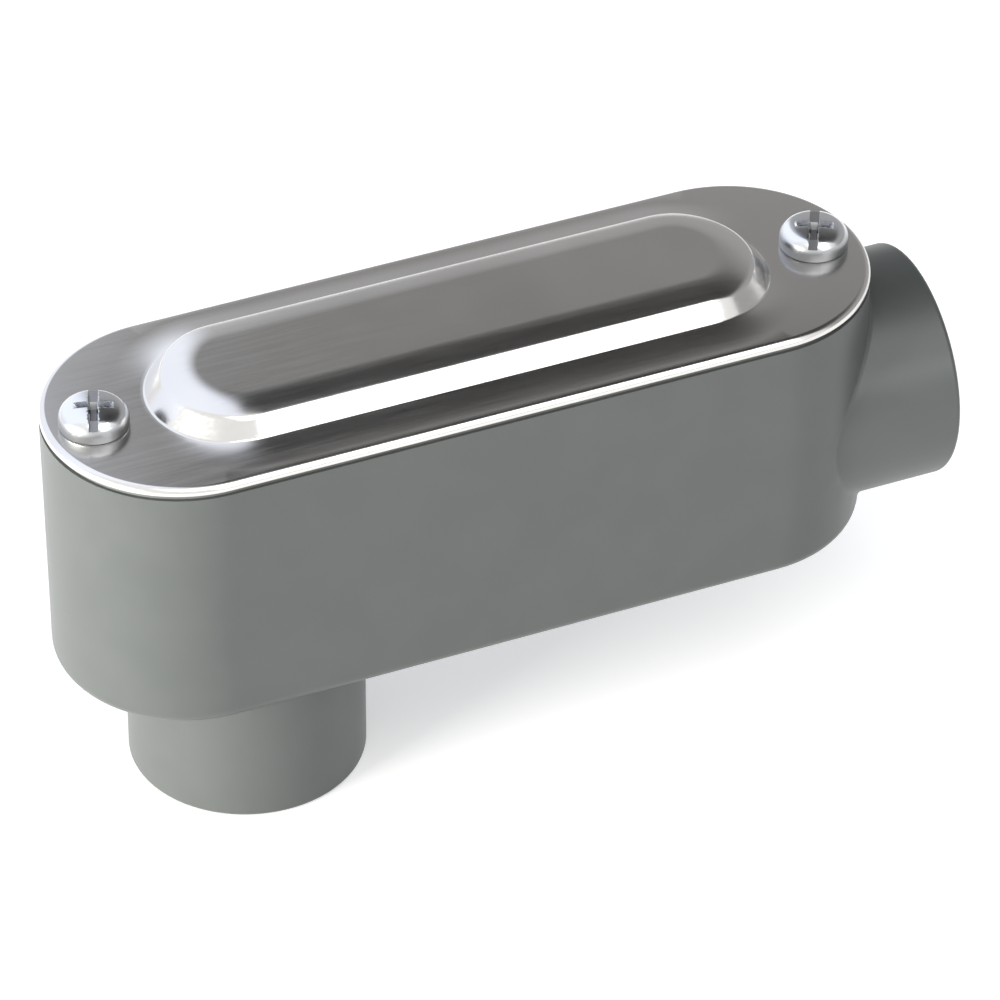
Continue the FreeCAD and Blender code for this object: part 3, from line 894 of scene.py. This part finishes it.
@dataclass
class SheetCover:
    """Stamped sheet cover: a margin with a rounded rim and two screw holes, dished up to a raised pan."""

    under: float = 60.1
    thickness: float = 1.2
    rim_ends: tuple[float, float] = (-8.2, 72.2)
    rim_radius: float = 19.0
    rim_round: float = 0.9
    pan_ends: tuple[float, float] = (-0.25, 64.25)
    pan_height: float = 4.1
    dish_radius: float = 17.7
    dish_round: float = 20.0
    dish_angle: float = 15.0
    foot_round: float = 0.5
    wall_angle: float = 56.0
    shoulder_round: float = 1.6
    crown_round: float = 12.0
    crown_angle: float = 20.0
    level_over: float = 2.4
    end_lean: float = 1.0
    hole_radius: float = 2.7
    hole_centres: tuple[float, float] = (-20.5, 84.5)
    burr_round: float = 0.15
    segments: int = 56
    hole_segments: int = 48
    crease: float = 30.0

    def pan_section(self, inset: float) -> Section:
        """Section of the margin's dish and the pan, as radius and height over the margin's top.

        Args:
            inset: Distance below the outer skin.

        Returns:
            The points, from outside inwards.
        """
        bends = (
            (self.dish_round + inset, 0.0, self.dish_angle, 10),
            (self.foot_round + inset, self.dish_angle, self.wall_angle, 6),
            (self.shoulder_round - inset, self.wall_angle, self.crown_angle, 8),
            (self.crown_round - inset, self.crown_angle, 0.0, 10),
        )
        wall = math.radians(self.wall_angle)
        climb = sum(radius * abs(math.cos(math.radians(first)) - math.cos(math.radians(last)))
                    for radius, first, last, _ in bends)
        straight = (self.pan_height - climb) / math.sin(wall)
        points = [(self.dish_radius, -inset)]
        for index, (radius, first, last, steps) in enumerate(bends):
            if index == 2:
                reach = (straight * math.cos(wall), straight * math.sin(wall))
                points.append(self._onwards(points[-1], *reach))
            start = points[-1]
            for step in range(1, steps + 1):
                tilt = math.radians(first + (last - first) * step / steps)
                inwards = radius * abs(math.sin(tilt) - math.sin(math.radians(first)))
                upwards = radius * abs(math.cos(tilt) - math.cos(math.radians(first)))
                points.append(self._onwards(start, inwards, upwards))
        return points

    @staticmethod
    def _onwards(start: tuple[float, float], inwards: float, upwards: float) -> tuple[float, float]:
        """The point that lies so far inwards and upwards of another."""
        return (start[0] - inwards, start[1] + upwards)

    def build(self, node: Piece, finish: Material) -> Piece:
        """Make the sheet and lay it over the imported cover.

        Args:
            node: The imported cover.
            finish: Its sheet metal.

        Returns:
            The piece.
        """
        bm = bmesh.new()
        upper, upper_holes = self._skin(bm, top=True)
        lower, lower_holes = self._skin(bm, top=False)
        join_loops(bm, [lower, upper])
        for one, other in zip(lower_holes, upper_holes):
            join_loops(bm, [one, other])
        bmesh.ops.remove_doubles(bm, verts=bm.verts, dist=SHEET_WELD)
        bmesh.ops.recalc_face_normals(bm, faces=bm.faces)
        shade(bm, self.crease)
        piece = finished("sheet_cover", bm, finish)
        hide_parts(node.name)
        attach(piece, "cover")
        return piece

    def _skin(self, bm: Mesh,
              top: bool) -> tuple[Loop, list[Loop]]:
        """One side of the sheet.

        Args:
            bm: Mesh that takes it.
            top: True for the outer skin, False for the underside.

        Returns:
            Its outer edge, and the edges of its two holes.
        """
        level = self.under + self.thickness
        inset = 0.0 if top else self.thickness
        rim = self._rim_section(top)
        rings = [
            stadium(bm, *self.rim_ends, radius, self.under + height, self.segments) for radius, height in rim
        ]
        join_loops(bm, rings)
        pan = [
            stadium(bm, *self.pan_ends, radius, level + height, self.segments)
            for radius, height in self.pan_section(inset)
        ]
        self._level_ends(pan, level - inset)
        join_loops(bm, pan)
        bmesh.ops.contextual_create(bm, geom=pan[-1])
        height = self.under + (self.thickness if top else 0.0)
        shift = -self.burr_round if top else self.burr_round
        holes = []
        throats = []
        for x in self.hole_centres:
            mouth = circle(bm, (x, 0.0, height), self.hole_radius + self.burr_round, self.hole_segments)
            throat = circle(bm, (x, 0.0, height + shift), self.hole_radius, self.hole_segments)
            join_loops(bm, [mouth, throat])
            holes.append(mouth)
            throats.append(throat)
        margin = rings[-1] + pan[0] + holes[0] + holes[1]
        bmesh.ops.triangle_fill(bm, edges=margin, use_beauty=True, use_dissolve=False)
        return rings[0], throats

    def _level_ends(self, pan: list[Loop], base: float) -> None:
        """Let the dish run out where the margin widens under the screws, and lean the pan's end walls in.

        Args:
            pan: The dish's and the pan's loops.
            base: Height of the flat margin's own skin.
        """
        rise = self.dish_round * (1 - math.cos(math.radians(self.dish_angle)))
        for vert in dict.fromkeys(vert for loop in pan for edge in loop for vert in edge.verts):
            beyond = max(self.pan_ends[0] - vert.co.x, vert.co.x - self.pan_ends[1], 0.0)
            turned = beyond / max(math.hypot(beyond, vert.co.y), 0.001)
            height = vert.co.z - base
            fade = max(0.0, 1.0 - max(0.0, height - rise) / self.level_over)
            blend = math.sin(turned * math.pi / 2) ** 2
            vert.co.z -= min(height, rise) * fade * blend
            lean = self.end_lean * blend * min(1.0, max(0.0, height - rise) / (self.pan_height - rise))
            if beyond > 0.0:
                vert.co.x += math.copysign(min(lean, beyond), self.pan_ends[0] - vert.co.x)

    def _rim_section(self, top: bool) -> Section:
        """Section of the sheet's edge on one side.

        Args:
            top: True for the outer skin, False for the underside.

        Returns:
            The points, from outside inwards.
        """
        if not top:
            return [(self.rim_radius, self.burr_round), (self.rim_radius - self.burr_round, 0.0)]
        centre = (self.rim_radius - self.rim_round, self.thickness - self.rim_round)
        return arc(centre, self.rim_round, 90.0, 0.0, 10)


@dataclass
class CoverScrew:
    """Pan-head machine screw with a slot, a tapered cross recess and a cut thread."""

    side: str
    x: float
    turn: float
    head_base: float = 61.3
    head_height: float = 3.4
    head_radius: float = 4.75
    head_side: float = 1.2
    shoulder_round: float = 1.9
    crown_tilt: float = 11.8
    foot_round: float = 0.35
    shank_radius: float = 2.4
    shank_length: float = 9.5
    tip_chamfer: float = 0.6
    pitch: float = 25.4 / 24
    thread_depth: float = 0.62
    slot_width: float = 1.3
    slot_depth: float = 1.3
    arm_length: float = 5.6
    arm_width: float = 1.35
    arm_depth: float = 2.2
    arm_taper: float = 0.55
    lip_round: float = 0.1
    lip_tilts: tuple[float, float] = (0.45, 0.75)
    slot_run: float = 2.4
    thread_run_out: float = 0.8
    thread_steps: int = 40
    crease: float = 28.0
    segments: int = 96

    def build(self, node: Piece, finish: Material) -> Piece:
        """Turn the blank, sink the slot and the cross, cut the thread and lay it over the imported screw.

        Args:
            node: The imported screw.
            finish: Its plate.

        Returns:
            The piece.
        """
        bm = self._blank()
        slot = (self.slot_run * self.head_radius, self.slot_width, self.slot_depth, 1.0)
        arm = (self.arm_length, self.arm_width, self.arm_depth, self.arm_taper)
        for form, turn in ((slot, 0.0), (arm, 0.0), (arm, 90.0)):
            bm = self._cut(bm, self._block(*form, self.turn + turn))
        bmesh.ops.remove_doubles(bm, verts=bm.verts, dist=SCREW_WELD)
        self._break_lips(bm)
        bmesh.ops.recalc_face_normals(bm, faces=bm.faces)
        shade(bm, self.crease)
        axis = Axis(Vector((self.x, 0.0, self.head_base)), Matrix(((1, 0, 0), (0, -1, 0), (0, 0, -1))))
        thread = Thread(
            self.shank_radius, self.thread_depth, self.pitch, 0.0, self.shank_length - self.tip_chamfer,
            ThreadSide.EXTERNAL, self.thread_run_out, self.thread_steps,
        )
        taken = thread.cut_into(bm, axis)
        LOG.info("%s screw: %d plain faces became a thread", self.side, taken)
        bmesh.ops.recalc_face_normals(bm, faces=bm.faces)
        piece = finished(f"zinc_screw_{self.side}", bm, finish)
        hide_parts(node.name)
        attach(piece, f"cover_screw_{self.side}")
        return piece

    def _blank(self) -> Mesh:
        """Turn the screw without its slot, cross or thread, at its place.

        Returns:
            The blank.
        """
        top = self.head_base + self.head_height
        shoulder = (self.head_radius - self.shoulder_round, self.head_base + self.head_side)
        meeting = shoulder[0] + self.shoulder_round * math.sin(math.radians(self.crown_tilt))
        crown = meeting / math.sin(math.radians(self.crown_tilt))
        tip = self.head_base - self.shank_length
        foot = (self.head_radius - self.foot_round, self.head_base + self.foot_round)
        outline = arc((0.0, top - crown), crown, 0.0, self.crown_tilt, 5)
        outline += arc(shoulder, self.shoulder_round, self.crown_tilt, 90.0, 10)[1:]
        outline += arc(foot, self.foot_round, 90.0, 180.0, 5)
        outline += [
            (self.shank_radius, self.head_base),
            (self.shank_radius, tip + self.tip_chamfer),
            (self.shank_radius - self.tip_chamfer, tip),
            (0.0, tip),
        ]
        bm = bmesh.new()
        verts = [bm.verts.new((radius, 0.0, height)) for radius, height in outline]
        edges = [bm.edges.new(pair) for pair in zip(verts, verts[1:])]
        bmesh.ops.spin(
            bm, geom=verts + edges, cent=(0, 0, 0), axis=(0, 0, 1), angle=math.tau, steps=self.segments,
            use_merge=True, use_normal_flip=False, use_duplicate=False,
        )
        bmesh.ops.remove_doubles(bm, verts=bm.verts, dist=SCREW_WELD)
        bmesh.ops.recalc_face_normals(bm, faces=bm.faces)
        bmesh.ops.translate(bm, verts=bm.verts, vec=Vector((self.x, 0.0, 0.0)))
        return bm

    def _block(self, length: float, width: float, depth: float, taper: float,
               turn: float) -> Mesh:
        """Tapered block that sinks into the head from its top.

        Args:
            length: Its length at the head's top.
            width: Its width there.
            depth: How deep it sinks.
            taper: Size of its floor, as a part of its size at the top.
            turn: Its angle about the screw, in degrees.

        Returns:
            The block.
        """
        bm = bmesh.new()
        bmesh.ops.create_cube(bm, size=1.0)
        bmesh.ops.scale(bm, vec=Vector((length, width, 2 * depth)), verts=bm.verts)
        for scale, upwards in ((taper, False), (2 - taper, True)):
            level = [vert for vert in bm.verts if (vert.co.z > 0) == upwards]
            bmesh.ops.scale(bm, vec=Vector((scale, scale, 1.0)), verts=level)
        turned = Matrix.Rotation(math.radians(turn), 3, "Z")
        bmesh.ops.rotate(bm, verts=bm.verts, cent=(0, 0, 0), matrix=turned)
        top = Vector((self.x, 0.0, self.head_base + self.head_height))
        bmesh.ops.translate(bm, verts=bm.verts, vec=top)
        return bm

    @staticmethod
    def _cut(bm: Mesh, cutter: Mesh) -> Mesh:
        """Take one closed mesh out of another.

        Args:
            bm: The mesh that is cut. It is freed.
            cutter: The mesh taken out of it. It is freed.

        Returns:
            The mesh that is left.
        """
        blank = new_piece("blank", bm, scale=1.0)
        tool = new_piece("tool", cutter, scale=1.0)
        modifier = blank.modifiers.new("cut", "BOOLEAN")
        modifier.operation = "DIFFERENCE"
        modifier.solver = "EXACT"
        modifier.object = tool
        left = bmesh.new()
        left.from_object(blank, bpy.context.evaluated_depsgraph_get())
        for spent in (blank, tool):
            mesh = spent.data
            bpy.data.objects.remove(spent)
            bpy.data.meshes.remove(mesh)
        return left

    def _break_lips(self, bm: Mesh) -> None:
        """Break the edges where the slot and the cross meet the dome.

        Args:
            bm: The screw.
        """
        lips = [edge for edge in bm.edges if self._is_lip(edge)]
        bmesh.ops.bevel(
            bm, geom=lips, offset=self.lip_round, offset_type="OFFSET", affect="EDGES", segments=2,
            profile=0.5, material=-1, clamp_overlap=True,
        )

    def _is_lip(self, edge: bmesh.types.BMEdge) -> bool:
        """Tell an edge between the dome and a wall sunk into it.

        Args:
            edge: The edge.

        Returns:
            True for such an edge.
        """
        lowest = min(vert.co.z for vert in edge.verts)
        if len(edge.link_faces) != 2 or lowest < self.head_base + self.head_side:
            return False
        tilts = sorted(abs(face.normal.z) for face in edge.link_faces)
        return tilts[0] < self.lip_tilts[0] and tilts[1] > self.lip_tilts[1] and edge.is_convex


# ---------------------------------------------------------------- studio


@dataclass(frozen=True)
class FlagTone:
    """Brightness of the studio behind the object at one height over the horizon."""

    elevation: float
    colour: Colour


@dataclass(frozen=True)
class Lamp:
    """Area lamp: where it stands and its size in metres, its power in watts, and its colour."""

    name: str
    place: Point
    size: tuple[float, float]
    power: float
    colour: Colour


@dataclass
class Studio:
    """Camera, pale floor, white surroundings and the grey flags that satin metal mirrors."""

    target: tuple[float, float, float] = (37.95, 0.0, 30.69)
    distance: float = 911.0
    azimuth: float = -23.22
    elevation: float = 38.29
    roll: float = 0.303
    lens: float = 238.0
    sensor: float = 36.0
    floor_side: float = 8.0
    floor_lift: float = 0.38
    sky_light: float = 0.40
    flag_centre: tuple[float, float, float] = (0.038, 0.0, 0.063)
    flag_radius: float = 0.7
    flag_sweep: float = 100.0
    window_edge: tuple[float, float] = (2.0, 16.0)
    window: Colour = (1.12, 1.18, 1.32)
    tones: tuple[FlagTone, ...] = (
        FlagTone(2.0, (0.42, 0.42, 0.42)),
        FlagTone(26.0, (0.40, 0.40, 0.41)),
        FlagTone(36.0, (0.29, 0.288, 0.285)),
        FlagTone(43.0, (0.11, 0.108, 0.105)),
        FlagTone(56.0, (0.045, 0.044, 0.043)),
        FlagTone(74.0, (0.05, 0.05, 0.05)),
        FlagTone(84.0, (0.9, 0.9, 0.9)),
    )
    flag_steps: tuple[int, int] = (24, 40)
    lamps: tuple[Lamp, ...] = (
        Lamp("overhead", (0.1, -0.8, 1.4), (1.3, 1.1), 9.0, (1.0, 1.0, 1.0)),
        Lamp("front_fill", (0.55, -1.6, 0.75), (0.8, 0.45), 3.8, (0.93, 0.97, 1.0)),
        Lamp("left_key", (-1.8, -0.35, 0.26), (0.9, 0.36), 88.0, (1.0, 0.99, 0.92)),
    )

    def back(self) -> Vector:
        """Direction from the target to the camera.

        Returns:
            It, of length 1.
        """
        azimuth = math.radians(self.azimuth)
        elevation = math.radians(self.elevation)
        level = math.cos(elevation)
        return Vector((math.sin(azimuth) * level, -math.cos(azimuth) * level, math.sin(elevation)))

    def add_camera(self) -> None:
        """Place the camera and make it the scene's."""
        data = bpy.data.cameras.new("camera")
        data.lens = self.lens
        data.sensor_width = self.sensor
        data.clip_start = 0.01
        data.clip_end = 50.0
        camera = bpy.data.objects.new("camera", data)
        bpy.context.scene.collection.objects.link(camera)
        back = self.back()
        right = Vector((0.0, 0.0, 1.0)).cross(back).normalized()
        up = back.cross(right)
        turn = math.radians(self.roll)
        rolled_right = math.cos(turn) * right + math.sin(turn) * up
        rolled_up = math.cos(turn) * up - math.sin(turn) * right
        pose = Matrix((rolled_right, rolled_up, back)).transposed().to_4x4()
        pose.translation = (Vector(self.target) + back * self.distance) * MM
        camera.matrix_world = pose
        bpy.context.scene.camera = camera

    def add_floor(self) -> None:
        """Plain white floor under the back hub."""
        bm = bmesh.new()
        bmesh.ops.create_grid(bm, x_segments=1, y_segments=1, size=self.floor_side / 2)
        floor = new_piece("floor", bm, scale=1.0)
        material, graph, shader, _ = start_material("floor_white")
        shader.inputs["Base Color"].default_value = (0.86, 0.86, 0.86, 1.0)
        shader.inputs["Roughness"].default_value = 1.0
        shader.inputs["Specular IOR Level"].default_value = 0.0
        shader.inputs["Emission Color"].default_value = (1.0, 1.0, 1.0, 1.0)
        lift = graph.math("MULTIPLY", self._seen(graph), self.floor_lift)
        graph.link(lift, shader.inputs["Emission Strength"])
        material.cycles.emission_sampling = "NONE"
        floor.data.materials.append(material)

    def add_world(self) -> None:
        """White surroundings for the camera and for mirroring, dimmer for soft light."""
        world = bpy.data.worlds.new("studio")
        bpy.context.scene.world = world
        world.use_nodes = True
        graph = NodeGraph(world.node_tree)
        output = graph.add("ShaderNodeOutputWorld")
        background = graph.add("ShaderNodeBackground")
        background.inputs["Color"].default_value = (1.0, 1.0, 1.0, 1.0)
        graph.link(graph.blend(self._seen(graph), self.sky_light, 1.0), background.inputs["Strength"])
        graph.link(background.outputs[0], output.inputs["Surface"])

    @staticmethod
    def _seen(graph: NodeGraph) -> Socket:
        """1 for a ray that shows the surroundings: to the camera, by mirroring, or through glass."""
        path = graph.add("ShaderNodeLightPath")
        mirrored = graph.math("ADD", path.outputs["Is Glossy Ray"], path.outputs["Is Transmission Ray"])
        return graph.math("ADD", path.outputs["Is Camera Ray"], mirrored, clamp=True)

    def add_flag(self) -> None:
        """Curved grey flag behind the object, shaded by height."""
        bm = bmesh.new()
        lowest = math.radians(self.tones[0].elevation)
        highest = math.radians(self.tones[-1].elevation)
        steps, turns = self.flag_steps
        spots = []
        for step in range(steps + 1):
            angle = lowest + (highest - lowest) * step / steps
            spots.append((self.flag_radius * math.cos(angle), 0.0, self.flag_radius * math.sin(angle)))
        verts = [bm.verts.new(spot) for spot in spots]
        edges = [bm.edges.new(pair) for pair in zip(verts, verts[1:])]
        bmesh.ops.rotate(
            bm, verts=verts, cent=(0, 0, 0), matrix=Matrix.Rotation(math.radians(-self.flag_sweep), 3, "Z"),
        )
        bmesh.ops.spin(
            bm, geom=verts + edges, cent=(0, 0, 0), axis=(0, 0, 1), angle=math.radians(2 * self.flag_sweep),
            steps=turns, use_merge=False, use_normal_flip=False, use_duplicate=False,
        )
        behind = math.atan2(-self.back().y, -self.back().x)
        bmesh.ops.rotate(bm, verts=bm.verts, cent=(0, 0, 0), matrix=Matrix.Rotation(behind, 3, "Z"))
        bmesh.ops.translate(bm, verts=bm.verts, vec=Vector(self.flag_centre))
        flag = new_piece("studio_flag", bm, scale=1.0)
        flag.data.materials.append(self._flag_material())
        flag.visible_camera = False
        flag.visible_shadow = False

    def _flag_material(self) -> Material:
        """Emission that follows the tones by height, with a bright window on the left.

        Returns:
            The material.
        """
        material = bpy.data.materials.new("studio_flag")
        material.use_nodes = True
        graph = NodeGraph(material.node_tree)
        output = graph.add("ShaderNodeOutputMaterial")
        glow = graph.add("ShaderNodeEmission")
        position = graph.add("ShaderNodeTexCoord").outputs["Object"]
        axes = graph.add("ShaderNodeSeparateXYZ")
        spread = graph.vector("SUBTRACT", position, self.flag_centre)
        graph.link(graph.vector("NORMALIZE", spread), axes.inputs[0])
        elevation = graph.math("DEGREES", graph.math("ARCSINE", axes.outputs[2]))
        colour: object = rgba(self.tones[0].colour)
        for lower, upper in zip(self.tones, self.tones[1:]):
            reached = graph.spread(elevation, lower.elevation, upper.elevation, 0.0, 1.0)
            colour = graph.mix(reached, colour, rgba(upper.colour))
        bearing = graph.math("DEGREES", graph.math("ARCTAN2", axes.outputs[0], axes.outputs[1]))
        dim = graph.spread(bearing, *self.window_edge, 0.0, 1.0, smooth=True)
        colour = graph.mix(dim, rgba(self.window), colour)
        graph.feed(glow.inputs["Color"], colour)
        graph.link(glow.outputs[0], output.inputs["Surface"])
        material.cycles.emission_sampling = "NONE"
        return material

    def add_lamp(self, lamp: Lamp) -> None:
        """Turn a lamp to the object.

        Args:
            lamp: The lamp.
        """
        data = bpy.data.lights.new(lamp.name, "AREA")
        data.shape = "RECTANGLE"
        data.size, data.size_y = lamp.size
        data.energy = lamp.power
        data.color = lamp.colour
        stand = bpy.data.objects.new(lamp.name, data)
        bpy.context.scene.collection.objects.link(stand)
        place = Vector(lamp.place)
        aim = (Vector(self.target) * MM - place).normalized()
        stand.matrix_world = Matrix.Translation(place) @ aim.to_track_quat("-Z", "Y").to_matrix().to_4x4()

    def build(self) -> None:
        """Set up the whole studio."""
        bpy.context.scene.view_settings.view_transform = "Standard"
        self.add_camera()
        self.add_floor()
        self.add_world()
        self.add_flag()
        for lamp in self.lamps:
            self.add_lamp(lamp)


# ---------------------------------------------------------------- whole object


@dataclass
class ConduitBody:
    """Every piece of the object."""

    housing: HousingCasting
    cover: SheetCover
    screws: tuple[CoverScrew, ...]

    def build(self, nodes: dict[str, Piece]) -> None:
        """Build and dress every piece.

        Args:
            nodes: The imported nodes.
        """
        effects = Effects.build()
        enamel = EnamelFinish().make(effects, self.housing.tubes())
        sheet = SheetFinish().make(effects)
        crown = self.screws[0].head_base + self.screws[0].head_height
        zinc = ZincFinish().make(effects, crown * MM)
        rubber = RubberFinish().make(effects)
        made = [self.housing.build(nodes["housing"], enamel), self.cover.build(nodes["cover"], sheet)]
        for screw in self.screws:
            made.append(screw.build(nodes[f"cover_screw_{screw.side}"], zinc))
        gasket = nodes["gasket"]
        gasket.data.materials.clear()
        gasket.data.materials.append(rubber)
        for piece in made:
            LOG.info("%s: %d faces", piece.name, len(piece.data.polygons))


def main() -> None:
    """Load the frame, build the looks and set the studio."""
    logging.basicConfig(level=logging.INFO, format="%(message)s")
    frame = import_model()
    body = ConduitBody(
        housing=HousingCasting(),
        cover=SheetCover(),
        screws=(CoverScrew("left", x=-20.5, turn=70.0), CoverScrew("right", x=84.5, turn=63.0)),
    )
    body.build(frame["nodes"])
    Studio().build()


if __name__ == "__main__":
    main()
